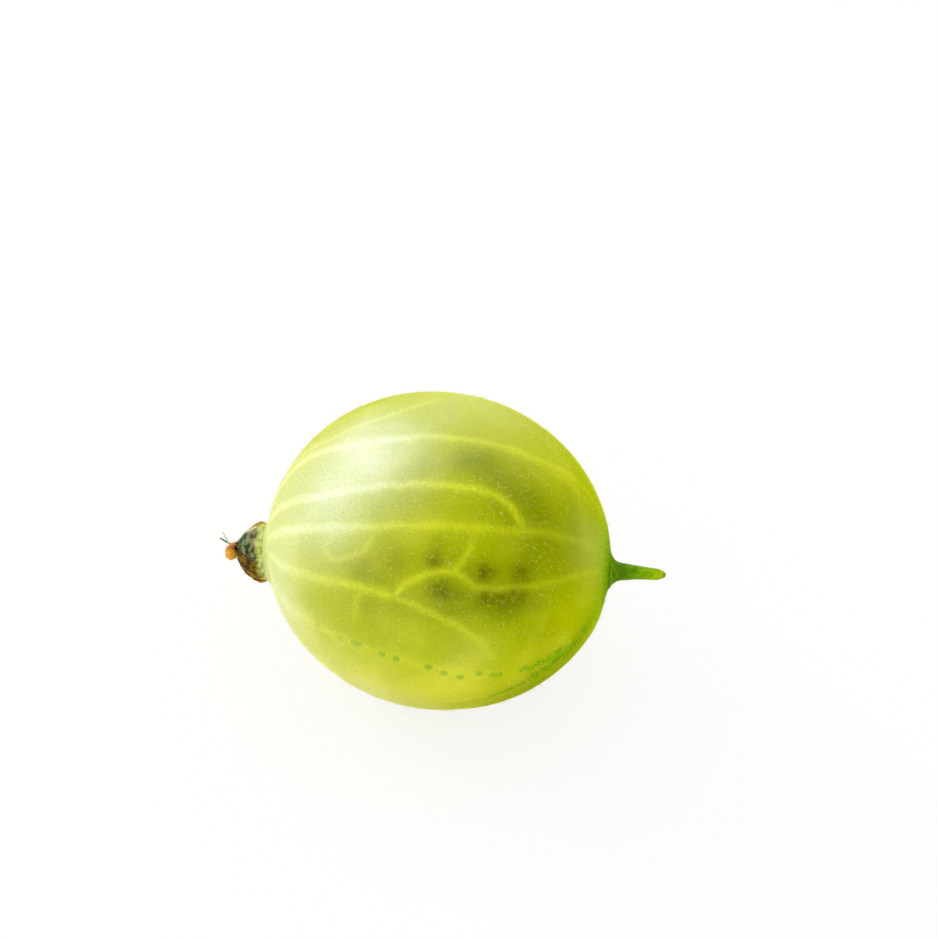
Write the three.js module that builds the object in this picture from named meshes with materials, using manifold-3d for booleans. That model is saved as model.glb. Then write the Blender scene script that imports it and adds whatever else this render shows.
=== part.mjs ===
// A green gooseberry as it was picked: the berry lies on a small flat spot,
// its stalk points along +X and the dried flower along -X.
// Millimetres, +Z up. The origin is the centre of the flat spot.

import * as THREE from 'three';
import { mergeVertices } from 'three/addons/utils/BufferGeometryUtils.js';
import Module from 'manifold-3d';

// ---- driving dimensions ------------------------------------------------------

const BERRY_LENGTH = 22.26; // longest diameter
const BERRY_WIDTH = 20.6; // diameter across
const BODY_DIP = 9.9; // degrees the long diameter dips towards the stalk end
const BODY_TURN = -5.5; // degrees the long diameter turns towards -Y
const REST_SAG = 0.2; // how much the flat spot takes off the bottom
const POLE_DROP = [-0.44, -0.44]; // y, z of the stalk-to-flower line from the body's centre
const AROUND = 48; // sides of the berry's mesh round the stalk-to-flower line
const ALONG = 36; // steps of the berry's mesh from pole to pole
const POLE_CROWDING = 0.32; // how much closer together the steps are at the poles

// The skin is drawn out to a level face of radius `top` at each pole, and falls
// back to the body's own surface at `foot`.
const NECK = { top: 0.62, foot: 1.7, height: 0.45, sharpness: 3 };
const COLLAR = { top: 1.88, foot: 2.6, height: 0.05, sharpness: 2 };
const FLOWER_SHIFT = [0.5, -0.5]; // y, z of the flower from the stalk-to-flower line
const FLOWER_LEAN = [0.06, -0.14]; // y, z that the flower's axis gains for each step outwards

const GAP = 0.05; // between pieces that touch
const WELD = 1e-5; // distance within which points are one

const STALK_LENGTH = 3.6; // from the berry's own outline to the cut end
const STALK_PROFILE = [
  // [distance from the neck, radius]
  [0, 0.6], [0.15, 0.575], [0.32, 0.545], [0.94, 0.48], [1.56, 0.42], [2.18, 0.39],
];
const STALK_END_STEPS = 5; // of the rounded end
const STALK_SIDES = 16;

const HUSK_PROFILE = [
  // [distance from the collar, radius] of the folded sepals
  [0, 1.8], [0.2, 1.88], [0.5, 1.9], [0.67, 1.85], [0.92, 1.74], [1.25, 1.47], [1.51, 1.24],
  [1.66, 1.12], [1.82, 0.9], [2, 0.68],
];
const HUSK_SIDES = 40;
const SEPAL_THICKNESS = 0.28;
const SEPAL_COUNT = 5;
const SEPAL_TURN = 39; // degrees of the first sepal round the flower's axis
const SEPAL_TIP = 0.6; // width of the folded tip against a full share of the circumference
const SEPAL_LENGTHS = [2, 1.88, 1.96, 1.82, 1.92];

const NUB = { start: 2, end: 2.86, radius: 0.56, sides: 16 };
const NUB_FOOT = 0.72; // radius where the nub meets the lobes, against its full radius
const NUB_FLARE = 0.4; // share of the nub's straight length over which it widens to full
const NUB_ROUND_STEPS = 5; // of the nub's rounded end
const STYLE_RADIUS = 0.07;
const STYLE_STEPS = 8;
const STYLE_SIDES = 8;
const STYLE_PATHS = [
  // points from the nub: outwards from the collar, back from the axis, up from the axis
  [[2.6, 0.36, 0.34], [2.88, 0.46, 0.46], [3.29, 0.58, 0.66]],
  [[2.68, 0.3, 0.44], [2.88, 0.54, 0.74], [3.12, 0.8, 0.98]],
];

// ---- worked out from them ----------------------------------------------------

const longRadius = BERRY_LENGTH / 2;
const crossRadius = BERRY_WIDTH / 2;
const longAxis = new THREE.Vector3(1, 0, 0)
  .applyAxisAngle(new THREE.Vector3(0, 1, 0), THREE.MathUtils.degToRad(BODY_DIP))
  .applyAxisAngle(new THREE.Vector3(0, 0, 1), THREE.MathUtils.degToRad(BODY_TURN));

// The ellipsoid's support along z gives its height above the flat spot.
const downReach = Math.hypot(longRadius * longAxis.z, crossRadius * Math.hypot(longAxis.x, longAxis.y));
const lowestShift = ((longRadius ** 2 - crossRadius ** 2) * longAxis.z) / downReach;
const bodyCentre = new THREE.Vector3(
  lowestShift * longAxis.x,
  lowestShift * longAxis.y,
  downReach - REST_SAG,
);
const poleOrigin = bodyCentre.clone().add(new THREE.Vector3(0, ...POLE_DROP));

// Distance from a point inside the ellipsoid to its surface along a unit direction.
function reach(from, direction) {
  const offset = from.clone().sub(bodyCentre);
  const quadric = (a, b) =>
    a.dot(b) / crossRadius ** 2 +
    (1 / longRadius ** 2 - 1 / crossRadius ** 2) * a.dot(longAxis) * b.dot(longAxis);
  const qa = quadric(direction, direction);
  const qb = quadric(offset, direction);
  const qc = quadric(offset, offset) - 1;
  return (-qb + Math.sqrt(qb * qb - qa * qc)) / qa;
}

const stalkBase = poleOrigin.clone();
stalkBase.x += reach(poleOrigin, new THREE.Vector3(1, 0, 0)) + NECK.height;
const flowerBase = poleOrigin.clone().add(new THREE.Vector3(0, ...FLOWER_SHIFT));
flowerBase.x -= reach(flowerBase, new THREE.Vector3(-1, 0, 0)) + COLLAR.height;
const flowerAxis = new THREE.Vector3(-1, ...FLOWER_LEAN).normalize();

// ---- solids ------------------------------------------------------------------

const wasm = await Module();
wasm.setup();

// A closed geometry as a manifold-3d solid.
function toSolid(geometry) {
  const bare = geometry.clone();
  bare.deleteAttribute('normal');
  bare.deleteAttribute('uv');
  const merged = mergeVertices(bare, WELD);
  return new wasm.Manifold(
    new wasm.Mesh({
      numProp: 3,
      vertProperties: new Float32Array(merged.attributes.position.array),
      triVerts: new Uint32Array(merged.index.array),
    }),
  );
}

function toGeometry(solid) {
  const mesh = solid.getMesh();
  const geometry = new THREE.BufferGeometry();
  geometry.setAttribute('position', new THREE.BufferAttribute(mesh.vertProperties, 3));
  geometry.setIndex(new THREE.BufferAttribute(mesh.triVerts, 1));
  geometry.computeVertexNormals();
  return geometry;
}

function moveVertices(geometry, move) {
  const position = geometry.attributes.position;
  const point = new THREE.Vector3();
  for (let i = 0; i < position.count; i += 1) {
    point.fromBufferAttribute(position, i);
    move(point);
    position.setXYZ(i, point.x, point.y, point.z);
  }
  return geometry;
}

// Draws a point of the skin towards the level face of a shoulder round `base`.
function drawOut(p, shoulder, base, axis) {
  const distance = Math.hypot(p.y - base.y, p.z - base.z);
  const t = THREE.MathUtils.clamp((shoulder.foot - distance) / (shoulder.foot - shoulder.top), 0, 1);
  const level = base.x - (axis.y * (p.y - base.y) + axis.z * (p.z - base.z)) / axis.x;
  p.x += (level - p.x) * t ** shoulder.sharpness;
}

function berryGeometry() {
  // The sphere's own axis is turned to the stalk-to-flower line.
  const geometry = new THREE.SphereGeometry(1, AROUND, ALONG);
  geometry.rotateZ(-Math.PI / 2);
  moveVertices(geometry, (p) => {
    const even = Math.acos(THREE.MathUtils.clamp(p.x, -1, 1));
    const polar = even - POLE_CROWDING * Math.sin(2 * even);
    const turn = Math.atan2(p.z, p.y);
    const direction = new THREE.Vector3(
      Math.cos(polar),
      Math.sin(polar) * Math.cos(turn),
      Math.sin(polar) * Math.sin(turn),
    );
    p.copy(direction).multiplyScalar(reach(poleOrigin, direction)).add(poleOrigin);
    if (p.x > poleOrigin.x) drawOut(p, NECK, stalkBase, new THREE.Vector3(1, 0, 0));
    else drawOut(p, COLLAR, flowerBase, flowerAxis);
  });
  const size = 2 * BERRY_LENGTH;
  const below = new THREE.BoxGeometry(size, size, size);
  below.translate(0, 0, -size / 2);
  return toGeometry(toSolid(geometry).subtract(toSolid(below)));
}

function stalkGeometry() {
  const last = STALK_PROFILE[STALK_PROFILE.length - 1];
  const end = STALK_LENGTH - NECK.height - GAP;
  const profile = [new THREE.Vector2(0, 0)];
  STALK_PROFILE.forEach(([x, r]) => profile.push(new THREE.Vector2(r, x)));
  for (let i = 1; i < STALK_END_STEPS; i += 1) {
    const angle = (i / STALK_END_STEPS) * (Math.PI / 2);
    profile.push(
      new THREE.Vector2(last[1] * Math.cos(angle), last[0] + (end - last[0]) * Math.sin(angle)),
    );
  }
  profile.push(new THREE.Vector2(0, end));
  const geometry = new THREE.LatheGeometry(profile, STALK_SIDES);
  geometry.rotateZ(-Math.PI / 2);
  return toGeometry(toSolid(geometry));
}

// The flower's pieces are made standing on the collar along +Y, with +X to the
// back and +Z up, and the group that holds them lays them down towards -X.
function huskRadius(y) {
  const i = HUSK_PROFILE.findIndex(([at]) => at >= y);
  if (i <= 0) return HUSK_PROFILE[0][1];
  const [y0, r0] = HUSK_PROFILE[i - 1];
  const [y1, r1] = HUSK_PROFILE[i];
  return r0 + ((r1 - r0) * (y - y0)) / (y1 - y0);
}

function flowerTubeGeometry() {
  const profile = [new THREE.Vector2(0, 0)];
  HUSK_PROFILE.forEach(([y, r]) => {
    profile.push(new THREE.Vector2(r - SEPAL_THICKNESS - GAP, Math.min(y, NUB.start - GAP)));
  });
  profile.push(new THREE.Vector2(0, NUB.start - GAP));
  return toGeometry(toSolid(new THREE.LatheGeometry(profile, HUSK_SIDES)));
}

function sepalGeometry(index) {
  const length = SEPAL_LENGTHS[index];
  const outside = HUSK_PROFILE.filter(([y]) => y < length).map(([y, r]) => new THREE.Vector2(r, y));
  outside.push(new THREE.Vector2(huskRadius(length), length));
  const inside = outside.map((p) => new THREE.Vector2(p.x - SEPAL_THICKNESS, p.y)).reverse();
  const shell = new THREE.LatheGeometry([...outside, ...inside, outside[0].clone()], HUSK_SIDES);

  // Each lobe fills its share of the inner circumference and narrows to its tip.
  const share = (y) => (huskRadius(y) - SEPAL_THICKNESS) * Math.sin(Math.PI / SEPAL_COUNT) - GAP / 2;
  const edge = outside.map((p) => new THREE.Vector2(share(p.y), p.y));
  edge[edge.length - 1].set(SEPAL_TIP * share(length), length + GAP);
  edge.unshift(new THREE.Vector2(share(0), -GAP));
  const mirrored = edge.map((p) => new THREE.Vector2(-p.x, p.y)).reverse();
  const lobe = new THREE.Shape([...edge, ...mirrored]);
  const depth = 2 * HUSK_PROFILE[0][1]; // past the widest part of the husk
  const cutter = new THREE.ExtrudeGeometry(lobe, { depth, bevelEnabled: false });

  const geometry = toGeometry(toSolid(shell).intersect(toSolid(cutter)));
  geometry.rotateY(THREE.MathUtils.degToRad(SEPAL_TURN + (360 / SEPAL_COUNT) * index));
  return geometry;
}

function nubGeometry() {
  const straight = NUB.end - NUB.start - NUB.radius;
  const profile = [
    new THREE.Vector2(0, NUB.start),
    new THREE.Vector2(NUB_FOOT * NUB.radius, NUB.start),
    new THREE.Vector2(NUB.radius, NUB.start + NUB_FLARE * straight),
  ];
  for (let i = 0; i < NUB_ROUND_STEPS; i += 1) {
    const angle = (i / NUB_ROUND_STEPS) * (Math.PI / 2);
    profile.push(
      new THREE.Vector2(
        NUB.radius * Math.cos(angle),
        NUB.start + straight + NUB.radius * Math.sin(angle),
      ),
    );
  }
  profile.push(new THREE.Vector2(0, NUB.end));
  return toGeometry(toSolid(new THREE.LatheGeometry(profile, NUB.sides)));
}

function styleGeometry(path) {
  const points = path.map(([out, back, up]) => new THREE.Vector3(back, out, up));
  const section = new THREE.Shape();
  section.absarc(0, 0, STYLE_RADIUS, 0, 2 * Math.PI);
  const geometry = new THREE.ExtrudeGeometry(section, {
    steps: STYLE_STEPS,
    curveSegments: STYLE_SIDES,
    bevelEnabled: false,
    extrudePath: new THREE.CatmullRomCurve3(points),
  });
  return toGeometry(toSolid(geometry));
}

// ---- materials and assembly --------------------------------------------------

const skin = new THREE.MeshStandardMaterial({ color: '#b4c11f', roughness: 0.42, metalness: 0 });
const greenStem = new THREE.MeshStandardMaterial({ color: '#64910c', roughness: 0.5, metalness: 0 });
const driedCup = new THREE.MeshStandardMaterial({ color: '#4a4a2c', roughness: 0.8, metalness: 0 });
const driedLobe = new THREE.MeshStandardMaterial({ color: '#6b5a2e', roughness: 0.7, metalness: 0 });
const amber = new THREE.MeshStandardMaterial({ color: '#b86a1c', roughness: 0.45, metalness: 0 });
const thread = new THREE.MeshStandardMaterial({ color: '#8f9a4a', roughness: 0.7, metalness: 0 });

function piece(name, geometry, material) {
  const mesh = new THREE.Mesh(geometry, material);
  mesh.name = name;
  return mesh;
}

const gooseberry = new THREE.Group();
gooseberry.add(piece('berry', berryGeometry(), skin));

const stalk = piece('stalk', stalkGeometry(), greenStem);
stalk.position.copy(stalkBase);
stalk.position.x += GAP;
gooseberry.add(stalk);

const flower = new THREE.Group();
flower.position.copy(flowerBase).addScaledVector(flowerAxis, GAP);
flower.quaternion.setFromUnitVectors(new THREE.Vector3(0, 1, 0), flowerAxis);
flower.add(piece('flower_tube', flowerTubeGeometry(), driedCup));
for (let i = 0; i < SEPAL_COUNT; i += 1) {
  flower.add(piece(`sepal_${i + 1}`, sepalGeometry(i), driedLobe));
}
flower.add(piece('withered_tip', nubGeometry(), amber));
STYLE_PATHS.forEach((path, i) => {
  flower.add(piece(`style_${i + 1}`, styleGeometry(path), thread));
});
gooseberry.add(flower);

export default gooseberry;
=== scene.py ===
"""A green gooseberry as picked: a translucent, veined and hairy berry lying on its
flat spot, with its green stalk towards +X and the dried flower towards -X.

Metres, +Z up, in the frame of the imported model. The script is laid out as an
add-on: each operator makes one piece or a group of like pieces, and main() runs
them all.
"""

import math
import random

import bpy
import numpy as np
from mathutils import Matrix, Vector, noise


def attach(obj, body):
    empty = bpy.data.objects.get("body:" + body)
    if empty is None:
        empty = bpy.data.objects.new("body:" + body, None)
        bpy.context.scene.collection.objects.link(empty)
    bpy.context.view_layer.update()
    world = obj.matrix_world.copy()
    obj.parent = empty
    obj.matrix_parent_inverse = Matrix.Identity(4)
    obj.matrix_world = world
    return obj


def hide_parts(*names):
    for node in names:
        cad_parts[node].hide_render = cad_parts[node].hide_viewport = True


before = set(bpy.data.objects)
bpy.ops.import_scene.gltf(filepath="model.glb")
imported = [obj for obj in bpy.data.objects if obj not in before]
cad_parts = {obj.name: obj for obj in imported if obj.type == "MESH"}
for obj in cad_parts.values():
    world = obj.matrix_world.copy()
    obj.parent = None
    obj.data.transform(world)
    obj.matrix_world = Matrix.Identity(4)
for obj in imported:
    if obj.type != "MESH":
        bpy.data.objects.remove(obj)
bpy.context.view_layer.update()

bl_info = {
    "name": "Green gooseberry",
    "version": (1, 0, 0),
    "blender": (4, 5, 0),
    "location": "3D View > Sidebar > Gooseberry",
    "description": "A translucent, veined and hairy gooseberry with its stalk and dried flower",
    "category": "Add Mesh",
}

MM = 0.001

# ---- the berry's shape, as in the solids -----------------------------------------

LONG_DIAMETER = 22.26 * MM
CROSS_DIAMETER = 20.6 * MM
BODY_DIP = math.radians(9.9)
BODY_TURN = math.radians(-5.5)
REST_SAG = 0.2 * MM
REST_EDGE = 0.03 * MM
POLE_DROP = Vector((0, -0.44, -0.44)) * MM
NECK = {"top": 0.62 * MM, "foot": 1.7 * MM, "height": 0.45 * MM, "sharpness": 3}
COLLAR = {"top": 1.88 * MM, "foot": 2.6 * MM, "height": 0.05 * MM, "sharpness": 2}
FLOWER_SHIFT = Vector((0, 0.5, -0.5)) * MM
FLOWER_AXIS = Vector((-1, 0.06, -0.14)).normalized()

LONG_RADIUS = LONG_DIAMETER / 2
CROSS_RADIUS = CROSS_DIAMETER / 2
TURNED = Matrix.Rotation(BODY_TURN, 3, "Z") @ Matrix.Rotation(BODY_DIP, 3, "Y")
LONG_AXIS = TURNED @ Vector((1, 0, 0))
DOWN_REACH = math.hypot(LONG_RADIUS * LONG_AXIS.z, CROSS_RADIUS * math.hypot(LONG_AXIS.x, LONG_AXIS.y))
LOW_SHIFT = (LONG_RADIUS**2 - CROSS_RADIUS**2) * LONG_AXIS.z / DOWN_REACH
BODY_CENTRE = Vector((LOW_SHIFT * LONG_AXIS.x, LOW_SHIFT * LONG_AXIS.y, DOWN_REACH - REST_SAG))
POLE_ORIGIN = BODY_CENTRE + POLE_DROP

# Where the fruit swells or flattens away from the even body: direction, how far in
# millimetres, and over how many degrees.
SWELLINGS = [
    ((0.14, -0.7, -0.7), -0.17, 38),
    ((0.96, -0.17, -0.24), 0.13, 16),
    ((-0.6, -0.5, -0.6), -0.06, 25),
]

# ---- the pattern in the skin -----------------------------------------------------

# Each vein is a smooth line through points of (share of the way from flower to
# stalk, degrees round, 0 on top and 90 at the front), after how strongly it
# shows at its two ends and its width in millimetres.
FRONT_VEINS = [
    (0.45, 0.4, 0.5, [(0.03, -40), (0.18, -24), (0.28, -13.8), (0.32, -14), (0.38, -15.2),
                      (0.42, -17.6), (0.45, -21), (0.49, -27)]),
    (1.25, 0.05, 0.5, [(0.03, -22), (0.18, -14), (0.35, -3), (0.5, -3), (0.58, -4), (0.7, -7),
                       (0.8, -15), (0.95, -26)]),
    (1.1, 0.45, 0.52, [(0.03, -4), (0.125, 7), (0.27, 17), (0.47, 17), (0.59, 17), (0.64, 19),
                       (0.68, 27)]),
    (1.1, 0.62, 0.55, [(0.03, 16), (0.11, 27), (0.3, 32), (0.42, 32), (0.53, 31)]),
    (0.55, 0.0, 0.55, [(0.53, 31), (0.65, 30), (0.72, 28), (0.83, 26), (0.97, 18)]),
    (0.65, 0.65, 0.62, [(0.03, 40), (0.14, 52), (0.27, 54), (0.37, 55), (0.43, 57.5)]),
    (0.72, 0.15, 0.45, [(0.43, 57.5), (0.46, 52), (0.49, 49), (0.53, 47), (0.555, 47.4),
                        (0.575, 49.5), (0.595, 52), (0.64, 52.3), (0.7, 51.6), (0.8, 49), (0.96, 40)]),
    (0.62, 0.3, 0.5, [(0.43, 57.5), (0.46, 59), (0.53, 64), (0.59, 71), (0.64, 83)]),
    (0.12, 0.6, 0.42, [(0.585, 32), (0.582, 36), (0.575, 40), (0.55, 46.5)]),
    (0.55, 0.22, 0.42, [(0.39, 32), (0.387, 36), (0.37, 41), (0.32, 45), (0.3, 44), (0.28, 41),
                        (0.3, 37), (0.3, 32)]),
    (0.45, 0.3, 0.5, [(0.37, 56), (0.358, 60), (0.355, 68)]),
    (0.15, 0.05, 0.4, [(0.3, 44), (0.27, 47), (0.22, 53)]),
    (0.5, 0.3, 0.7, [(0.03, 70), (0.14, 84), (0.21, 80), (0.26, 80), (0.35, 81), (0.44, 83)]),
    (0.35, 0.05, 0.7, [(0.44, 83), (0.57, 89), (0.7, 96), (0.81, 98)]),
]
# The dark green seam towards the stalk: how strongly it shows at its ends, width, points.
SEAMS = [
    (0.05, 0.9, 0.62, [(0.44, 112), (0.506, 113.4), (0.55, 114.4), (0.6, 114), (0.652, 111.3),
                       (0.695, 109.5), (0.733, 106.6)]),
    (0.8, 1.0, 1.5, [(0.733, 106.6), (0.774, 105), (0.819, 103.5), (0.861, 99.4), (0.905, 93.5),
                     (0.956, 86), (0.99, 80)]),
    (0.1, 0.85, 0.85, [(0.66, 94), (0.7, 96), (0.74, 98), (0.79, 97.5)]),
    (0.15, 0.6, 1.6, [(0.6, 109), (0.68, 108), (0.74, 106.5), (0.79, 104), (0.84, 99.5), (0.9, 91),
                      (0.95, 80)]),
]
# Deeper green in soft patches of the flesh, and painted shade in broad bands along the limbs, beside the seam
# and over the top; same form.
DEEP_FLESH_AND_SHADE = [
    (0.4, 0.35, 2.0, [(0.6, 8), (0.64, 13), (0.7, 19)]),
    (0.3, 0.3, 1.8, [(0.78, -2), (0.8, 10), (0.81, 26)]),
    (0.55, 0.55, 1.6, [(0.54, 55), (0.57, 55.5)]),
    (0.25, 0.3, 1.5, [(0.62, 48), (0.66, 46), (0.71, 46)]),
    (0.35, 0.5, 2.0, [(0.64, 62), (0.68, 61), (0.72, 60)]),
    (0.25, 0.4, 2.6, [(0.72, 73), (0.76, 82), (0.75, 92), (0.72, 99)]),
    (0.3, 0.45, 1.6, [(0.45, 60), (0.5, 61.5), (0.55, 61), (0.595, 58)]),
    (0.3, 0.3, 1.4, [(0.37, 50), (0.4, 53)]),
    (0.35, 0.4, 1.3, [(0.56, 43), (0.57, 48), (0.585, 53)]),
    (0.3, 0.3, 1.4, [(0.48, 9), (0.52, 9), (0.57, 6)]),
    (0.25, 0.25, 1.2, [(0.62, 17), (0.65, 23), (0.66, 27)]),
    # Painted shade: broad bands along the lower limb, beside the seam.
    (0.4, 0.85, 5.0, [(0.4, 122), (0.5, 121), (0.56, 122), (0.64, 123), (0.72, 123)]),
    (0.85, 0.6, 5.0, [(0.72, 123), (0.79, 121), (0.85, 116), (0.91, 103), (0.94, 80)]),
    # Painted shade: bands along the upper limbs.
    (0.1, 0.55, 4.0, [(0.62, -34), (0.7, -32), (0.78, -26), (0.85, -18), (0.9, -5)]),
    (0.25, 0.25, 3.0, [(0.1, -25), (0.2, -28), (0.3, -34), (0.42, -40)]),
]
# How the pattern's lines are shaken, to crinkle as veins do: how far, in lumps of what
# size, from which seed.
SHAKES = [(0.11 * MM, 0.9 * MM, 11.0), (0.05 * MM, 0.35 * MM, 21.0)]
# Where pale wax and a painted sheen of the window light lie: direction from the middle, how thick, over how
# many degrees.
BLOOM_AND_SHEEN = [
    ((-0.75, -0.25, 0.6), 0.4, 22),
    ((-0.4, -0.1, 0.9), 0.75, 20),
    ((0.1, 0.4, 0.9), 0.2, 26),
    ((-0.74, -0.5, -0.46), 0.28, 32),
    ((-0.89, -0.46, 0.0), 0.22, 14),
    ((-0.6, -0.47, 0.65), 0.2, 11),
    ((-0.3, -0.8, -0.5), 0.12, 20),
    ((-0.25, -0.92, 0.3), 0.03, 26),
    ((0.25, -0.96, 0.08), 0.05, 12),
    ((0.9, -0.22, 0.37), 0.06, 10),
]
# Green glands in rows by the front seam: (share of the way, degrees round).
GLANDS = [
    (0.12, 83), (0.19, 81), (0.262, 80), (0.318, 81), (0.349, 81), (0.36, 80.5), (0.41, 82.5),
    (0.44, 83.4), (0.507, 86), (0.537, 89), (0.571, 92), (0.61, 91), (0.639, 93.5), (0.652, 94.5),
    (0.702, 96), (0.72, 98.5), (0.733, 96), (0.746, 99), (0.765, 101), (0.775, 98), (0.79, 101),
    (0.81, 103),
]
# Seeds that shade through the flesh: (share, degrees round, radius in millimetres, depth of shade).
FRONT_SEEDS = [
    (0.611, 46.8, 0.8, 0.9), (0.687, 46.7, 0.75, 0.65), (0.515, 39.5, 0.7, 0.35),
    (0.513, 44, 0.65, 0.65), (0.438, 44.6, 0.9, 0.28), (0.442, 56.8, 0.5, 0.4),
    (0.525, 53.6, 1.0, 0.68), (0.62, 56.5, 0.8, 0.75), (0.655, 56.4, 0.8, 0.65),
    (0.686, 55.1, 0.75, 0.6), (0.667, 60.8, 1.2, 0.3), (0.365, 46.6, 1.1, 0.3),
    (0.376, 62.7, 1.0, 0.25), (0.575, 4, 1.3, 0.42), (0.66, 11, 1.8, 0.3), (0.74, 20, 2.2, 0.3),
    (0.72, 33, 2.0, 0.3), (0.78, 45, 2.0, 0.25), (0.58, 67, 1.6, 0.1), (0.46, 20, 1.2, 0.15),
    (0.45, 50, 2.4, 0.12),
]

# ---- the dried flower and the stalk, in millimetres ------------------------------

SEPAL_LENGTHS = [2.0, 1.88, 1.96, 1.82, 1.92]
SEPAL_TURN = 39
SEPAL_TWIST = 20
SEPAL_THICKNESS = 0.12
# The dried flower's radius by the distance from its base, and where its pieces start.
HUSK = [
    (0, 1.8), (0.2, 1.88), (0.5, 1.9), (0.67, 1.85), (0.92, 1.74), (1.25, 1.47), (1.51, 1.24),
    (1.66, 1.12), (1.82, 0.9), (2, 0.68),
]
HUSK_START = -0.06
# Which way round the flower the front is, in degrees from its top.
HUSK_FRONT = 315
NUB = {"start": 2.0, "end": 2.86, "radius": 0.56}
# The stalk's radius by the distance from the skin; past the last, it ends in a dome.
STALK_LENGTH = 3.6
STALK = [
    (0.02, 1.12), (0.1, 0.98), (0.2, 0.84), (0.3, 0.74), (0.41, 0.67), (0.55, 0.62), (0.82, 0.56),
    (1.44, 0.48), (2.06, 0.42), (2.68, 0.39),
]
# Its low ridges: how many, their twist in radians to the millimetre, and their height
# as a share of the radius.
STALK_RIDGES = [(5, 0.6, 0.02), (11, -1.1, 0.012)]
# The style's threads: points (out, back, up) from the flower's base, colour and radius.
STYLES = [
    ([(2.5, 0.3, 0.26), (2.7, 0.4, 0.38), (2.88, 0.46, 0.46), (3.29, 0.58, 0.66)], "#2a5e38", 0.08),
    ([(2.5, 0.26, 0.32), (2.68, 0.3, 0.44), (2.88, 0.54, 0.74), (3.12, 0.8, 0.98)], "#c9c98a", 0.055),
]
CORE_SIDES = 48

# ---- the hairs -------------------------------------------------------------------

HAIR_LEAN = (0.25, 1.5)
HAIR_BEND = 0.5 * MM
HAIR_BEND_SIZE = 0.22 * MM
HAIR_TIP = 0.35
# The higher, the more of the hairs are short.
HAIR_SKEW = 2.2

# ---- the stage -------------------------------------------------------------------

FLOOR_REACH = 1.5
# How far the floor is lifted to white where it is seen directly.
FLOOR_LIFT = 0.8
WINDOW = {"toward": (-0.80, 0.52, 0.36), "distance": 0.34, "size": 0.2, "watts": 0.3}
# How far the camera's aim lies from the middle of the berry, across the view.
VIEW_SHIFT = {"right": 1.936 * MM, "up": 5.356 * MM}


# ---- small helpers ---------------------------------------------------------------


def linear(hex_colour):
    """A colour written as sRGB hex, as linear red, green, blue and alpha."""
    channels = [int(hex_colour[i : i + 2], 16) / 255 for i in (1, 3, 5)]
    return tuple(c / 12.92 if c <= 0.04045 else ((c + 0.055) / 1.055) ** 2.4 for c in channels) + (1.0,)


def socket_of(sockets, key):
    """A socket by its place, its identifier or its name."""
    if isinstance(key, int):
        return sockets[key]
    return next((s for s in sockets if s.identifier == key), None) or sockets[key]


def output_of(value):
    """A node's first output in use; anything else as it is."""
    if isinstance(value, bpy.types.Node):
        return next(s for s in value.outputs if s.enabled)
    return value


def add_node(tree, kind, settings=None, inputs=None):
    """Adds a node, sets its properties, and fills its inputs.

    An input is given a plain value, a socket, or a node, which stands for its own
    first output in use.
    """
    node = tree.nodes.new(kind)
    for name, value in (settings or {}).items():
        setattr(node, name, value)
    for key, value in (inputs or {}).items():
        target = socket_of(node.inputs, key)
        value = output_of(value)
        if isinstance(value, bpy.types.NodeSocket):
            tree.links.new(value, target)
        else:
            target.default_value = value
    return node


def calculate(tree, operation, *values, clamp=False):
    """Adds a maths node."""
    return add_node(tree, "ShaderNodeMath", {"operation": operation, "use_clamp": clamp},
                    dict(enumerate(values)))


def principled(name, **values):
    """A new material: its node tree and its Principled shader, with plain values set on it."""
    material = bpy.data.materials.new(name)
    material.use_nodes = True
    shader = material.node_tree.nodes["Principled BSDF"]
    for key, value in values.items():
        shader.inputs[key.replace("_", " ")].default_value = value
    return material, material.node_tree, shader


def smooth(low, high, value):
    """0 below low, 1 above high, and a smooth rise between them."""
    t = np.clip((value - low) / (high - low), 0.0, 1.0)
    return t * t * (3 - 2 * t)


def lumps(points, size, seed=0.0):
    """Soft noise from about -1 to 1 at rows of points, with lumps of about the given size."""
    shift = Vector((seed, 2.7 * seed, -1.3 * seed))
    return np.array([noise.noise(Vector(p) / size + shift) for p in points])


def bump_at(value, centre, width):
    """1 at the centre, falling off smoothly on both sides."""
    return np.exp(-(((value - centre) / width) ** 2))


def blob(outward, toward, degrees):
    """1 where unit vectors point the same way as another, falling off over some degrees."""
    cosine = outward @ np.array(Vector(toward).normalized())
    return np.exp(-((np.degrees(np.arccos(np.clip(cosine, -1, 1))) / degrees) ** 2))


def loft(rings, start, end):
    """Vertices and faces of a closed body through rings of points, closed by two end points."""
    rings = np.asarray(rings)
    count, sides = rings.shape[:2]
    vertices = np.concatenate([rings.reshape(-1, 3), [start, end]])
    i, j = np.meshgrid(np.arange(count - 1), np.arange(sides), indexing="ij")
    k = (j + 1) % sides
    quads = np.stack([i * sides + j, i * sides + k, (i + 1) * sides + k, (i + 1) * sides + j], axis=-1)
    first, last, around = count * sides, count * sides + 1, np.arange(sides)
    step = (around + 1) % sides
    end_ring = (count - 1) * sides
    caps = np.concatenate([
        np.stack([np.full(sides, first), step, around], axis=-1),
        np.stack([np.full(sides, last), end_ring + around, end_ring + step], axis=-1),
    ])
    quads = quads.reshape(-1, 4)
    triangles = np.concatenate([quads[:, [0, 1, 2]], quads[:, [0, 2, 3]], caps])
    a, b, c = (vertices[triangles[:, n]] for n in range(3))
    if (a * np.cross(b, c)).sum() < 0:
        quads, caps = quads[:, ::-1], caps[:, ::-1]
    return vertices, quads.tolist() + caps.tolist()


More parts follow.
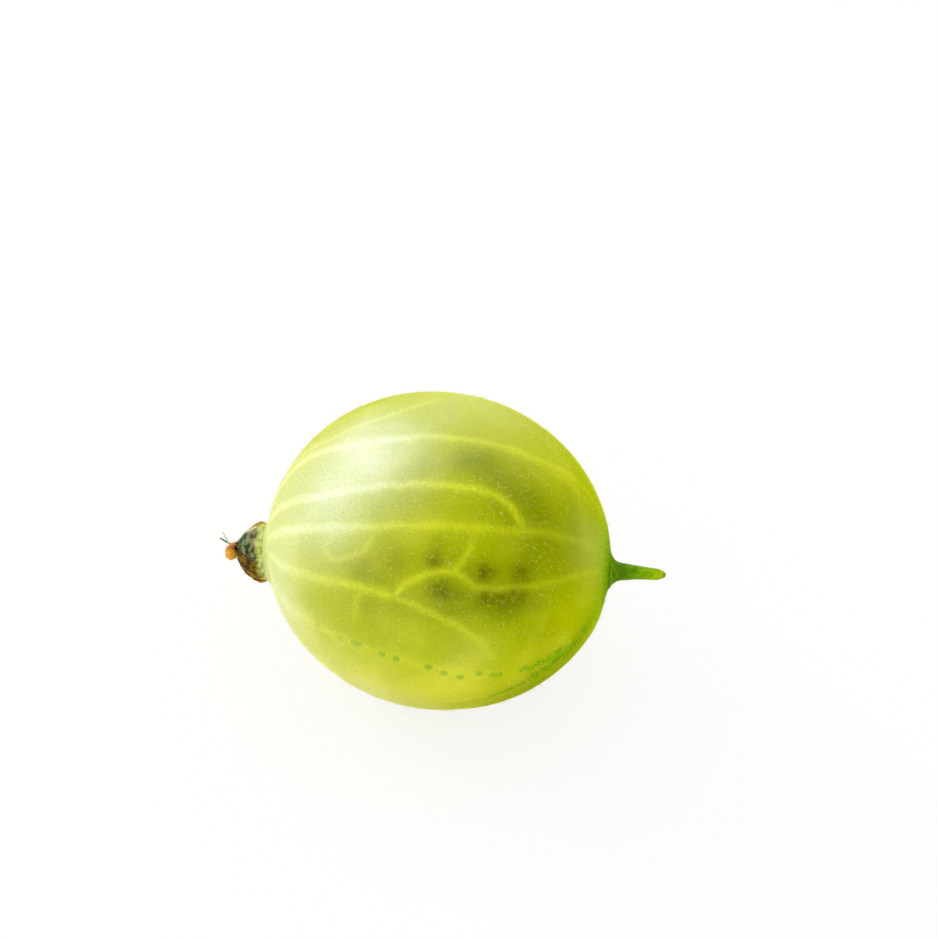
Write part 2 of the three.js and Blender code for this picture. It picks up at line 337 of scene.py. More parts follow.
def mesh_object(name, vertices, faces, material):
    """A smooth-shaded mesh object at the origin, with its place in its mesh."""
    mesh = bpy.data.meshes.new(name)
    mesh.from_pydata([tuple(v) for v in vertices], [], faces)
    mesh.polygons.foreach_set("use_smooth", [True] * len(mesh.polygons))
    mesh.materials.append(material)
    piece = bpy.data.objects.new(name, mesh)
    bpy.context.scene.collection.objects.link(piece)
    return piece


def set_attribute(piece, name, values, kind="FLOAT"):
    """Stores one value, or one vector, for each vertex of a piece."""
    attribute = piece.data.attributes.new(name, kind, "POINT")
    field = "vector" if kind == "FLOAT_VECTOR" else "value"
    attribute.data.foreach_set(field, np.asarray(values, dtype=np.float32).ravel())


def stand_for(piece, slot, *nodes):
    """Lets a piece ride with the berry and stand for CAD nodes, which it hides; its slot is not used."""
    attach(piece, "root")
    if nodes:
        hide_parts(*nodes)


def quadric(a, b):
    """The ellipsoid's bilinear form on rows of vectors; 1 on its surface."""
    axis = np.array(LONG_AXIS)
    stretch = 1 / LONG_RADIUS**2 - 1 / CROSS_RADIUS**2
    return (a * b).sum(-1) / CROSS_RADIUS**2 + stretch * (a @ axis) * (b @ axis)


def to_surface(origin, directions):
    """The points where rays from a point inside the ellipsoid leave it."""
    offset = np.broadcast_to(np.array(origin - BODY_CENTRE), directions.shape)
    qa = quadric(directions, directions)
    qb = quadric(offset, directions)
    qc = quadric(offset, offset) - 1
    reach = (-qb + np.sqrt(qb * qb - qa * qc)) / qa
    return np.array(origin) + reach[..., None] * directions


def directions_at(polar, turn):
    """Unit vectors by their angle from +X and their turn about it, 0 up and a quarter at the front."""
    return np.stack([np.cos(polar), -np.sin(polar) * np.sin(turn), np.sin(polar) * np.cos(turn)], axis=-1)


def on_skin(route):
    """Surface points of rows of (share of the way from flower to stalk, degrees round)."""
    route = np.asarray(route, dtype=float)
    return to_surface(POLE_ORIGIN, directions_at((1 - route[:, 0]) * math.pi, np.radians(route[:, 1])))


STALK_BASE = Vector(on_skin([(1, 0)])[0]) + Vector((NECK["height"], 0, 0))
FLOWER_POLE = to_surface(POLE_ORIGIN + FLOWER_SHIFT, np.array([[-1.0, 0, 0]]))[0]
FLOWER_BASE = Vector(FLOWER_POLE) - Vector((COLLAR["height"], 0, 0))


def draw_out(points, shoulder, base, axis):
    """Draws points of the skin along X to the level face of a shoulder round a pole."""
    offset = points - np.array(base)
    distance = np.hypot(offset[:, 1], offset[:, 2])
    t = np.clip((shoulder["foot"] - distance) / (shoulder["foot"] - shoulder["top"]), 0, 1)
    level = base.x - (axis.y * offset[:, 1] + axis.z * offset[:, 2]) / axis.x
    points[:, 0] += (level - points[:, 0]) * t ** shoulder["sharpness"]


def spline(points, step):
    """Closely spaced points of a smooth line through the given ones."""
    knots = np.array([points[0], *points, points[-1]], dtype=float)
    samples = []
    for i in range(1, len(knots) - 2):
        p0, p1, p2, p3 = knots[i - 1 : i + 3]
        t = np.linspace(0, 1, step, endpoint=False)[:, None]
        samples.append(0.5 * (2 * p1 + (p2 - p0) * t + (2 * p0 - 5 * p1 + 4 * p2 - p3) * t**2
                              + (3 * p1 - p0 - 3 * p2 + p3) * t**3))
    return np.concatenate([*samples, knots[-1:]])


def line_shade(vertices, lines):
    """How strongly soft lines on the skin show at each vertex, from 0 to 1."""
    total = np.zeros(len(vertices))
    for start, end, width, points in lines:
        line = on_skin(spline(points, 24))
        reach = 2.4 * width * MM
        near = np.flatnonzero(((vertices > line.min(0) - reach) & (vertices < line.max(0) + reach)).all(1))
        strength = start + (end - start) * np.linspace(0, 1, len(line))
        for part in np.array_split(near, max(1, len(near) // 4000)):
            away = np.linalg.norm(vertices[part, None, :] - line[None, :, :], axis=2)
            closest = away.argmin(1)
            share = away[np.arange(len(part)), closest] / (width * MM)
            profile = 0.85 * np.exp(-((share / 0.52) ** 2)) + 0.15 * np.exp(-((share / 1.2) ** 2))
            total[part] = np.maximum(total[part], strength[closest] * profile)
    return total


def hidden_veins(rng):
    """Veins of the far side: lines from flower to stalk that sway, most of which fork."""
    veins = []
    angle = 136.0
    while angle < 322:
        sway = [rng.uniform(-4, 4) for _ in range(5)]
        route = [(0.03, angle)] + [(s, angle + w) for s, w in zip((0.2, 0.4, 0.6, 0.8, 0.97), sway)]
        veins.append((rng.uniform(0.75, 0.95), rng.uniform(0.4, 0.6), rng.uniform(0.55, 0.65), route))
        if rng.random() < 0.75:
            start = rng.uniform(0.25, 0.6)
            side = rng.choice([-1, 1])
            fork = [
                (start, angle + sway[1]), (start + 0.07, angle + 6 * side), (start + 0.2, angle + 13 * side)
            ]
            veins.append((rng.uniform(0.6, 0.8), 0.3, rng.uniform(0.45, 0.5), fork))
        angle += rng.uniform(19, 27)
    return veins


def hidden_seeds(rng):
    """Seeds of the far side, in a broad band across from the front ones."""
    return [
        (rng.uniform(0.28, 0.78), 225 + rng.gauss(0, 14), rng.uniform(0.65, 0.95), rng.uniform(0.5, 0.95))
        for _ in range(13)
    ]


# ---- settings --------------------------------------------------------------------


def colour_setting(name, description, hex_colour):
    """A colour that the user can change, stored as linear red, green and blue."""
    return bpy.props.FloatVectorProperty(
        name=name, description=description, default=linear(hex_colour)[:3], subtype="COLOR",
        min=0, max=1, size=3,
    )


class BerrySettings(bpy.types.PropertyGroup):
    """The skin's mesh, its colours, and the seed of the far side's pattern"""

    rings: bpy.props.IntProperty(
        name="Rings", description="Rings of the skin's mesh from pole to pole", default=220, min=40, max=220
    )
    sides: bpy.props.IntProperty(
        name="Sides", description="Points of each ring of the skin's mesh", default=440, min=80, max=440
    )
    seed: bpy.props.IntProperty(
        name="Seed", description="Seed of the veins and seeds on the far side", default=7
    )
    flesh: colour_setting("Flesh", "Green flesh through the skin", "#b8c201")
    # Also the colour of painted shade along the limbs and towards the stalk.
    deep_flesh_and_shade: colour_setting("Deep flesh", "Darker green patches in the flesh", "#728400")
    # Yellower, paler underside: partly clearer flesh, partly a painted glow of light coming through from the
    # floor.
    clear_flesh_and_glow: colour_setting("Clear flesh", "Yellower flesh of the underside", "#f0ea3c")
    vein: colour_setting("Vein", "Veins under the skin", "#e2e922")
    seed_shade: colour_setting("Seed shade", "Seeds seen through the flesh", "#505a00")
    seam: colour_setting("Seam", "Green seam below the veins", "#6a9200")
    # Pale wax, and a painted sheen of the window light on the side towards it.
    bloom_and_sheen: colour_setting("Bloom", "Waxy bloom on the side that faced the sky", "#eff6d2")


class HairSettings(bpy.types.PropertyGroup):
    """How many hairs there are, and their size and colour"""

    density: bpy.props.FloatProperty(
        name="Density", description="Hairs to the square metre of skin", default=9.3e6, min=0
    )
    shortest: bpy.props.FloatProperty(
        name="Shortest", description="Length of the shortest hairs", default=0.07 * MM, unit="LENGTH"
    )
    longest: bpy.props.FloatProperty(
        name="Longest", description="Length of the longest hairs", default=0.32 * MM, unit="LENGTH"
    )
    radius: bpy.props.FloatProperty(
        name="Radius", description="Radius of a hair at its root", default=0.0098 * MM, unit="LENGTH"
    )
    colour: colour_setting("Colour", "Pale hairs", "#fdfe9c")
    seed: bpy.props.IntProperty(name="Seed", description="Seed of the hairs' places", default=3)


class StageSettings(bpy.types.PropertyGroup):
    """Where the camera stands, and its lens"""

    azimuth: bpy.props.FloatProperty(
        name="Azimuth", description="Camera's turn round the berry", default=math.radians(4.5),
        unit="ROTATION",
    )
    elevation: bpy.props.FloatProperty(
        name="Elevation", description="Camera's angle above level", default=math.radians(45), unit="ROTATION"
    )
    distance: bpy.props.FloatProperty(
        name="Distance", description="Camera's distance from the berry", default=269 * MM, unit="LENGTH"
    )
    lens: bpy.props.FloatProperty(
        name="Lens", description="Focal length in millimetres", default=160
    )


# ---- materials -------------------------------------------------------------------


def mix(tree, factor, first, second, blend="MIX"):
    """Adds a colour mix."""
    return add_node(tree, "ShaderNodeMix", {"data_type": "RGBA", "blend_type": blend, "clamp_factor": True},
                    {"Factor_Float": factor, "A_Color": first, "B_Color": second})


def ramp(tree, value, stops):
    """Adds a colour ramp through (position, hex colour) stops."""
    node = add_node(tree, "ShaderNodeValToRGB", {}, {"Fac": value})
    while len(node.color_ramp.elements) < len(stops):
        node.color_ramp.elements.new(0.5)
    for element, (position, colour) in zip(node.color_ramp.elements, stops):
        element.position = position
        element.color = linear(colour)
    return node.outputs["Color"]


def ease(tree, value, start, end, first=0.0, last=1.0):
    """Adds a smooth step: first up to start, last beyond end."""
    return add_node(tree, "ShaderNodeMapRange", {"interpolation_type": "SMOOTHSTEP"},
                    {"Value": value, "From Min": start, "From Max": end, "To Min": first, "To Max": last})


def product(tree, first, second):
    """Adds a multiplication."""
    return calculate(tree, "MULTIPLY", first, second)


def grain(tree, size, detail=2.0):
    """Adds an even noise in the piece's own frame, with blotches of about the given size."""
    place = add_node(tree, "ShaderNodeTexCoord").outputs["Object"]
    return add_node(tree, "ShaderNodeTexNoise", {}, {"Vector": place, "Scale": 1 / size, "Detail": detail})


def attribute(tree, name, output="Fac"):
    """Adds a reading of one of the piece's own attributes."""
    return add_node(tree, "ShaderNodeAttribute", {"attribute_name": name}).outputs[output]


def finish_surface(tree, shader, colour, height=None, strength=0.0, depth=0.0):
    """Gives a shader its colour, and fine relief from a height where there is one."""
    tree.links.new(output_of(colour), shader.inputs["Base Color"])
    if height is not None:
        relief = add_node(tree, "ShaderNodeBump", {},
                          {"Strength": strength, "Distance": depth, "Height": height})
        tree.links.new(relief.outputs["Normal"], shader.inputs["Normal"])


def skin_material(settings):
    """Waxy skin over translucent flesh: light sinks in and comes out yellower; it is matt, and its sheen is
    painted into the colour.
    """
    material, tree, shader = principled(
        "waxy_translucent_skin", Roughness=0.6, IOR=1.4, Specular_IOR_Level=0.012, Subsurface_Weight=1.0,
        Subsurface_Radius=(1.0, 0.9, 0.25), Subsurface_Scale=1.4 * MM,
    )
    clouds = grain(tree, 3.2 * MM)
    mottle = grain(tree, 0.32 * MM, 3)
    fine = grain(tree, 0.1 * MM, 1)

    patches = ease(tree, clouds, 0.3, 0.7, -0.18, 0.18)
    # The underside is yellower and paler: partly clearer flesh, partly a painted glow of light coming through
    # from the floor.
    clearness_and_glow = calculate(tree, "ADD", patches, attribute(tree, "clear"), clamp=True)
    colour = mix(tree, clearness_and_glow, (*settings.flesh, 1), (*settings.clear_flesh_and_glow, 1))
    # Deeper green: patches in the flesh, and painted shade along the limbs and towards the stalk.
    colour = mix(tree, attribute(tree, "deep_and_shade"), colour, (*settings.deep_flesh_and_shade, 1))

    # Seeds: soft dark shades with a mottled edge, brownest where they are darkest.
    shade = product(tree, attribute(tree, "seed"), ease(tree, mottle, 0.3, 0.7, 0.7, 1.15))
    colour = mix(tree, shade, colour, (*settings.seed_shade, 1))
    colour = mix(tree, ease(tree, shade, 0.3, 0.8, 0.0, 0.35), colour, linear("#746000"))

    # Veins: the line's soft profile is broken up along its edges and its length.
    vein = product(tree, attribute(tree, "vein"), ease(tree, mottle, 0.25, 0.75, 0.7, 1.2))
    colour = mix(tree, vein, colour, (*settings.vein, 1))

    seam = product(tree, attribute(tree, "seam"), ease(tree, mottle, 0.35, 0.62, 0.55, 1.05))
    colour = mix(tree, ease(tree, seam, 0.0, 0.9, 0.0, 0.9), colour, (*settings.seam, 1))

    # A gland is a soft green spot under half a millimetre across with a paler middle.
    reach = add_node(tree, "ShaderNodeVectorMath", {"operation": "LENGTH"},
                     {0: attribute(tree, "gland", "Vector")})
    uneven = calculate(tree, "MULTIPLY_ADD", fine, 0.16, reach.outputs["Value"])
    near_gland = attribute(tree, "near_gland")
    spot = product(tree, ease(tree, uneven, 0.16, 0.44, 0.7, 0.0), near_gland)
    colour = mix(tree, spot, colour, linear("#6ca400"))
    middle = product(tree, ease(tree, uneven, 0.1, 0.18, 0.6, 0.0), near_gland)
    colour = mix(tree, middle, colour, linear("#c8d648"))

    # The skin is greener round the stalk and yellow-green round the dried flower.
    from_stalk = attribute(tree, "from_stalk")
    colour = mix(tree, ease(tree, from_stalk, 2.8, 5.6, 0.8, 0.0), colour, linear("#98b004"))
    colour = mix(tree, ease(tree, from_stalk, 1.7, 4.5, 1.0, 0.0), colour, linear("#7a9a00"))
    colour = mix(tree, ease(tree, from_stalk, 1.3, 3.2, 1.0, 0.0), colour, linear("#5f8800"))
    from_flower = attribute(tree, "from_flower")
    blotched = product(tree, ease(tree, from_flower, 2.0, 3.1, 0.9, 0.0),
                       ease(tree, mottle, 0.3, 0.6, 0.5, 1.0))
    colour = mix(tree, blotched, colour, linear("#cdd86a"))

    # Pale wax and a painted sheen of the window light, palest over the veins.
    bloom_and_sheen = product(tree, attribute(tree, "bloom_and_sheen"), ease(tree, clouds, 0.3, 0.7, 0.88, 1.12))
    bloom_and_sheen = product(tree, bloom_and_sheen, ease(tree, vein, 0.0, 0.8, 1.0, 1.45))
    colour = mix(tree, bloom_and_sheen, colour, (*settings.bloom_and_sheen, 1))

    # Breathing pores: pale specks about 0.1 mm across, one or two to the square millimetre.
    place = add_node(tree, "ShaderNodeTexCoord").outputs["Object"]
    pores = add_node(tree, "ShaderNodeTexVoronoi", {}, {"Vector": place, "Scale": 1 / (0.7 * MM)})
    colour = mix(tree, ease(tree, pores.outputs["Distance"], 0.04, 0.1, 0.35, 0.0), colour, linear("#dfe68a"))
    colour = mix(tree, 1.0, colour, ease(tree, fine, 0.2, 0.8, 0.9, 1.09), "MULTIPLY")
    finish_surface(tree, shader, colour, mottle, strength=0.4, depth=0.01 * MM)
    return material


def hair_material(settings):
    """Soft hairs, pale on the side of the window light and yellow-green low down and towards the stalk:
    painted light and shade.
    """
    material, tree, shader = principled("soft_plant_hair", Roughness=0.6, Specular_IOR_Level=0.3)
    place = add_node(tree, "ShaderNodeTexCoord").outputs["Object"]
    away = add_node(tree, "ShaderNodeVectorMath", {"operation": "DOT_PRODUCT"},
                    {0: place, 1: (0.7, -0.2, -0.7)})
    # Painted shade: the hairs turn yellow-green on the side away from the window light.
    shade_away_from_window = ease(tree, away.outputs["Value"], -13 * MM, -1 * MM, 0.0, 0.75)
    colour = mix(tree, shade_away_from_window, (*settings.colour, 1), linear("#dce220"))
    finish_surface(tree, shader, colour)
    return material


def stalk_material():
    """Fresh green stem: a little shiny, mottled, darker at its root and olive at the cut."""
    material, tree, shader = principled(
        "fresh_green_stem", Roughness=0.42, Specular_IOR_Level=0.05, Subsurface_Weight=0.7,
        Subsurface_Radius=(0.8, 1.0, 0.2), Subsurface_Scale=0.35 * MM,
    )
    mottle = grain(tree, 0.4 * MM, 3)
    place = calculate(tree, "ADD", attribute(tree, "along"), ease(tree, mottle, 0.3, 0.7, -0.12, 0.12))
    colour = ramp(tree, place, [(0.0, "#6c9c02"), (0.14, "#557f00"), (0.28, "#5f8c00"), (0.42, "#6c9a00"),
                                (0.62, "#86ac04"), (0.85, "#a4c40a"), (0.99, "#8f9608")])
    spots = grain(tree, 0.25 * MM, 2)
    colour = mix(tree, ease(tree, spots, 0.5, 0.75, 0.0, 0.5), colour, linear("#4c7600"))
    finish_surface(tree, shader, colour, mottle, strength=0.5, depth=0.02 * MM)
    return material


def sepal_material():
    """Dead, papery sepals: grey-green where weathered, brown where thick, amber where light is painted
    shining through them.
    """
    material, tree, shader = principled(
        "weathered_dry_sepal", Roughness=0.5, Specular_IOR_Level=0.06, Subsurface_Weight=0.4,
        Subsurface_Radius=(1.0, 0.6, 0.2), Subsurface_Scale=0.15 * MM,
    )
    blotch = grain(tree, 0.42 * MM, 3)
    fine = grain(tree, 0.1 * MM, 2)
    colour = ramp(tree, blotch, [(0.3, "#182608"), (0.42, "#3a4e24"), (0.52, "#6c7c54"), (0.6, "#8a8a64"),
                                 (0.7, "#6e5634")])
    mottled = {
        "tan": [(0.4, "#6a5034"), (0.6, "#b09a70")],
        "brown": [(0.38, "#382600"), (0.62, "#8a6a02")],
        # amber: a painted glow of light shining through the sepals at their sides.
        "amber": [(0.35, "#7a4c00"), (0.6, "#c08a14")],
    }
    for name, stops in mottled.items():
        colour = mix(tree, attribute(tree, name), colour, ramp(tree, blotch, stops))
    colour = mix(tree, attribute(tree, "straw"), colour, linear("#d6d3a0"))
    colour = mix(tree, 1.0, colour, ease(tree, fine, 0.3, 0.7, 0.72, 1.2), "MULTIPLY")
    living = ramp(tree, blotch, [(0.35, "#b6ba64"), (0.48, "#cdd97c"), (0.6, "#dfe898")])
    colour = mix(tree, attribute(tree, "living"), colour, living)
    finish_surface(tree, shader, colour, fine, strength=0.7, depth=0.03 * MM)
    return material


def tip_material():
    """Withered petals and stamens set hard as resin: amber and glossy, with painted shade darkening the
    crease and the recess at the base.
    """
    material, tree, shader = principled(
        "resinous_withered_petals", Roughness=0.35, Specular_IOR_Level=0.35, Subsurface_Weight=0.6,
        Subsurface_Radius=(1.0, 0.5, 0.1), Subsurface_Scale=0.25 * MM,
    )
    blotch = grain(tree, 0.5 * MM, 2)
    golden = calculate(tree, "ADD", attribute(tree, "golden"), ease(tree, blotch, 0.35, 0.65, -0.3, 0.3),
                       clamp=True)
    colour = mix(tree, golden, linear("#b96c0a"), linear("#e4a822"))
    # Painted shade in the lump's crease and in the recess at its base.
    colour = mix(tree, attribute(tree, "fold_shade"), colour, linear("#3a2202"))
    finish_surface(tree, shader, colour)
    return material


def tube_material():
    """The dried flower's cup: dead, dark brown and dull."""
    return principled("dark_dry_flower_tube", Base_Color=linear("#3a300c"), Roughness=0.8)[0]


def petal_material():
    """A dry scrap of petal: pale and papery, and a little light comes through."""
    return principled("papery_dry_petal", Base_Color=linear("#c9b98c"), Roughness=0.6,
                      Subsurface_Weight=0.5, Subsurface_Scale=0.1 * MM)[0]


def thread_material(number, colour):
    """A dry thread of the style: dull, in its own colour."""
    return principled(f"dry_style_thread_{number}", Base_Color=linear(colour), Roughness=0.6)[0]


# ---- pieces ----------------------------------------------------------------------


def outward_at(points):
    """Unit vectors from the middle of the berry to rows of points."""
    outward = points - np.array(BODY_CENTRE)
    return outward / np.linalg.norm(outward, axis=1)[:, None]


def skin_surface(ring_count, sides):
    """Vertices of the even body and of the fruit as it grew, and the faces that both share."""
    even = np.linspace(0, math.pi, ring_count + 1)[1:-1]
    polar = even - 0.1 * np.sin(2 * even)
    turn = np.linspace(0, 2 * math.pi, sides, endpoint=False)
    rings = to_surface(POLE_ORIGIN, directions_at(*np.meshgrid(polar, turn, indexing="ij")))
    start, end = on_skin([(1, 0), (0, 0)])
    plain, faces = loft(rings, start, end)

    # The fruit is a little uneven away from the poles and the flat spot.
    outward = outward_at(plain)
    from_axis = np.hypot(plain[:, 1] - POLE_ORIGIN.y, plain[:, 2] - POLE_ORIGIN.z)
    depth = smooth(1.5 * MM, 4 * MM, from_axis) * smooth(0.3 * MM, 3 * MM, plain[:, 2])
    swell = 0.06 * lumps(outward, 0.45, 3.1)
    for toward, height, degrees in SWELLINGS:
        swell += height * blob(outward, toward, degrees)
    vertices = plain + outward * (depth * swell * MM)[:, None]

    stalk_half = vertices[:, 0] > POLE_ORIGIN.x
    near, far = vertices[stalk_half], vertices[~stalk_half]
    draw_out(near, NECK, STALK_BASE, Vector((1, 0, 0)))
    draw_out(far, COLLAR, FLOWER_BASE, FLOWER_AXIS)
    vertices[stalk_half], vertices[~stalk_half] = near, far
    vertices[:, 2] = 0.5 * (vertices[:, 2] + np.sqrt(vertices[:, 2] ** 2 + REST_EDGE**2))
    return plain, vertices, faces


def mark_pattern(skin, plain, from_flower, seed):
    """Stores where the veins, the seam, deeper flesh with painted shade, seeds and glands show."""
    shaken = plain.copy()
    for axis in range(3):
        for far, size, shake_seed in SHAKES:
            shaken[:, axis] += far * lumps(plain, size, shake_seed + axis)
    rng = random.Random(seed)
    # Where the veins run together at the dried flower, they are fainter.
    fade = 0.6 + 0.4 * smooth(2 * MM, 6 * MM, from_flower)
    set_attribute(skin, "vein", fade * line_shade(shaken, FRONT_VEINS + hidden_veins(rng)))
    set_attribute(skin, "seam", line_shade(shaken, SEAMS))

    # Over the seeds at the front and the back, painted shade darkens the flesh towards the stalk, on the side
    # away from the window light.
    round_about = np.degrees(np.arctan2(-plain[:, 1], plain[:, 2] - POLE_ORIGIN.z)) % 360
    over_seeds = sum(bump_at(round_about, middle, 40) for middle in (35, 225))
    shade_towards_stalk = 0.35 * over_seeds * smooth(-0.5 * MM, 6 * MM, plain[:, 0])
    set_attribute(skin, "deep_and_shade", 1 - (1 - line_shade(shaken, DEEP_FLESH_AND_SHADE)) * (1 - shade_towards_stalk))

    light = np.ones(len(plain))
    for share, angle, radius, shade in FRONT_SEEDS + hidden_seeds(rng):
        away = np.linalg.norm(shaken - on_skin([(share, angle)]), axis=1)
        light *= 1 - 0.75 * shade * bump_at(away, 0, radius * MM)
    set_attribute(skin, "seed", 1 - light)

    glands = on_skin(GLANDS)
    away = np.linalg.norm(plain[:, None, :] - glands[None, :, :], axis=2)
    set_attribute(skin, "gland", (plain - glands[away.argmin(1)]) / MM, "FLOAT_VECTOR")
    fresh = 0.4 + 0.6 * smooth(-7 * MM, -3 * MM, plain[:, 0])
    set_attribute(skin, "near_gland", fresh * smooth(0.55 * MM, 0.35 * MM, away.min(1)))


def mark_tints(skin, plain, height, from_stalk, from_flower):
    """Stores where the flesh is clear, with a painted glow, where pale wax and painted sheen lie, how hairy
    it is, and how far the ends are.
    """
    down = (POLE_ORIGIN.z - plain[:, 2]) / CROSS_RADIUS
    # A painted glow of light through the flesh, with clearer flesh: the underside is yellower and paler, less
    # so towards the stalk.
    set_attribute(skin, "clear", smooth(-0.3, 0.6, down) * (1 - 0.7 * smooth(0, 8 * MM, plain[:, 0])))
    set_attribute(skin, "from_stalk", from_stalk / MM)
    set_attribute(skin, "from_flower", from_flower / MM)

    outward = outward_at(plain)
    # Painted sheen of the window light: a pale band along the limb at the flower end and pale patches where
    # its highlight falls, with some pale wax.
    bloom_and_sheen = 0.15 * np.exp((-10.4 * MM - plain[:, 0]) / (1.7 * MM))
    for toward, thickness, degrees in BLOOM_AND_SHEEN:
        bloom_and_sheen += thickness * blob(outward, toward, degrees)
    bloom_and_sheen *= 0.45 + 0.55 * smooth(2.0 * MM, 3.0 * MM, from_flower)
    set_attribute(skin, "bloom_and_sheen", np.clip(bloom_and_sheen, 0, 0.85))

    # There are no hairs on the flat spot and at the ends, and fewer on the underside and
    # towards the stalk.
    hairy = smooth(0.3 * MM, 0.8 * MM, height) * (0.75 + 0.65 * lumps(plain, 1.1 * MM, 5.0))
    hairy *= smooth(1.2 * MM, 1.8 * MM, from_stalk) * smooth(2.0 * MM, 2.4 * MM, from_flower)
    hairy *= (1 - 0.45 * smooth(0, 0.5, down)) * (1 - 0.4 * smooth(5 * MM, 9 * MM, plain[:, 0]))
    set_attribute(skin, "hairy", np.clip(hairy, 0, None))


class GOOSEBERRY_OT_make_skin(bpy.types.Operator):
    """Make the berry's skin, with the veins, seeds, seam and glands that show in it"""

    bl_idname = "gooseberry.make_skin"
    bl_label = "Make skin"

    def execute(self, context):
        settings = context.scene.gooseberry_berry
        plain, vertices, faces = skin_surface(settings.rings, settings.sides)
        skin = mesh_object("skin", vertices, faces, skin_material(settings))
        from_stalk = np.linalg.norm(vertices - np.array(STALK_BASE), axis=1)
        from_flower = np.linalg.norm(vertices - np.array(FLOWER_BASE), axis=1)
        mark_pattern(skin, plain, from_flower, settings.seed)
        mark_tints(skin, plain, vertices[:, 2], from_stalk, from_flower)
        stand_for(skin, "skin", "berry")
        return {"FINISHED"}


class GOOSEBERRY_OT_make_hairs(bpy.types.Operator):
    """Make the short soft hairs that stand and lie all over the skin"""

    bl_idname = "gooseberry.make_hairs"
    bl_label = "Make hairs"

    def execute(self, context):
        settings = context.scene.gooseberry_hair
        tree, identifiers = hair_nodes(settings)
        skin = bpy.data.objects["skin"]
        carrier = bpy.data.objects.new("hair_carrier", skin.data)
        context.scene.collection.objects.link(carrier)
        modifier = carrier.modifiers.new("hairs", "NODES")
        modifier.node_group = tree
        for name, identifier in identifiers.items():
            modifier[identifier] = getattr(settings, name.lower())
        evaluated = carrier.evaluated_get(context.evaluated_depsgraph_get())
        mesh = bpy.data.meshes.new_from_object(evaluated)
        bpy.data.objects.remove(carrier)
        mesh.name = "hairs"
        piece = bpy.data.objects.new("hairs", mesh)
        context.scene.collection.objects.link(piece)
        stand_for(piece, "fibre")
        return {"FINISHED"}


def hair_nodes(settings):
    """Nodes that grow bent, tapered hairs on a skin, and the identifiers of their inputs."""
    tree = bpy.data.node_groups.new("hairs_on_skin", "GeometryNodeTree")
    tree.interface.new_socket("Geometry", in_out="INPUT", socket_type="NodeSocketGeometry")
    identifiers = {
        name: tree.interface.new_socket(name, in_out="INPUT", socket_type="NodeSocketFloat").identifier
        for name in ("Density", "Shortest", "Longest", "Radius")
    }
    tree.interface.new_socket("Geometry", in_out="OUTPUT", socket_type="NodeSocketGeometry")
    given = add_node(tree, "NodeGroupInput")
    hairy = add_node(tree, "GeometryNodeInputNamedAttribute", {"data_type": "FLOAT"}, {"Name": "hairy"})
    density = product(tree, given.outputs["Density"], hairy.outputs["Attribute"])
    roots = add_node(tree, "GeometryNodeDistributePointsOnFaces", {},
                     {"Mesh": given.outputs["Geometry"], "Density": density, "Seed": settings.seed})
    # Each hair starts as a straight line of unit length, tilted and turned at random.
    line = add_node(tree, "GeometryNodeCurvePrimitiveLine", {}, {"End": (0, 0, 1)})
    line = add_node(tree, "GeometryNodeResampleCurve", {}, {"Curve": line, "Count": 5})
    tilt = add_node(tree, "FunctionNodeRandomValue", {"data_type": "FLOAT_VECTOR"},
                    {"Min": (HAIR_LEAN[0], 0, 0), "Max": (HAIR_LEAN[1], 0, 2 * math.pi),
                     "Seed": settings.seed + 1})
    lean = add_node(tree, "FunctionNodeEulerToRotation", {}, {"Euler": tilt})
    turned = add_node(tree, "FunctionNodeRotateRotation", {"rotation_space": "LOCAL"},
                      {"Rotation": roots.outputs["Rotation"], "Rotate By": lean})
    share = add_node(tree, "FunctionNodeRandomValue", {"data_type": "FLOAT"},
                     {"Min_001": 0.0, "Max_001": 1.0, "Seed": settings.seed + 2})
    skewed = calculate(tree, "POWER", share, HAIR_SKEW)
    length = add_node(tree, "ShaderNodeMapRange", {},
                      {"Value": skewed, "To Min": given.outputs["Shortest"],
                       "To Max": given.outputs["Longest"]})
    hairs = add_node(tree, "GeometryNodeInstanceOnPoints", {},
                     {"Points": roots.outputs["Points"], "Instance": line, "Rotation": turned,
                      "Scale": length.outputs["Result"]})
    hairs = add_node(tree, "GeometryNodeRealizeInstances", {}, {"Geometry": hairs})
    # A noise bends them, more towards their tips.
    along = add_node(tree, "GeometryNodeSplineParameter")
    bend = add_node(tree, "ShaderNodeTexNoise", {},
                    {"Vector": add_node(tree, "GeometryNodeInputPosition"),
                     "Scale": 1 / HAIR_BEND_SIZE, "Detail": 0})
    centred = add_node(tree, "ShaderNodeVectorMath", {"operation": "SUBTRACT"},
                       {0: bend.outputs["Color"], 1: (0.5, 0.5, 0.5)})
    grow = product(tree, along.outputs["Factor"], HAIR_BEND)
    offset = add_node(tree, "ShaderNodeVectorMath", {"operation": "SCALE"}, {0: centred, "Scale": grow})
    hairs = add_node(tree, "GeometryNodeSetPosition", {}, {"Geometry": hairs, "Offset": offset})
    taper = add_node(tree, "ShaderNodeMapRange", {},
                     {"Value": along.outputs["Factor"], "To Min": 1.0, "To Max": HAIR_TIP})
    section = add_node(tree, "GeometryNodeCurvePrimitiveCircle", {},
                       {"Resolution": 3, "Radius": given.outputs["Radius"]})
    hairs = add_node(tree, "GeometryNodeCurveToMesh", {},
                     {"Curve": hairs, "Profile Curve": section.outputs["Curve"], "Scale": taper,
                      "Fill Caps": True})
    hairs = add_node(tree, "GeometryNodeRealizeInstances", {}, {"Geometry": hairs})
    hairs = add_node(tree, "GeometryNodeSetMaterial", {},
                     {"Geometry": hairs, "Material": hair_material(settings)})
    add_node(tree, "NodeGroupOutput", {}, {"Geometry": hairs})
    return tree, identifiers


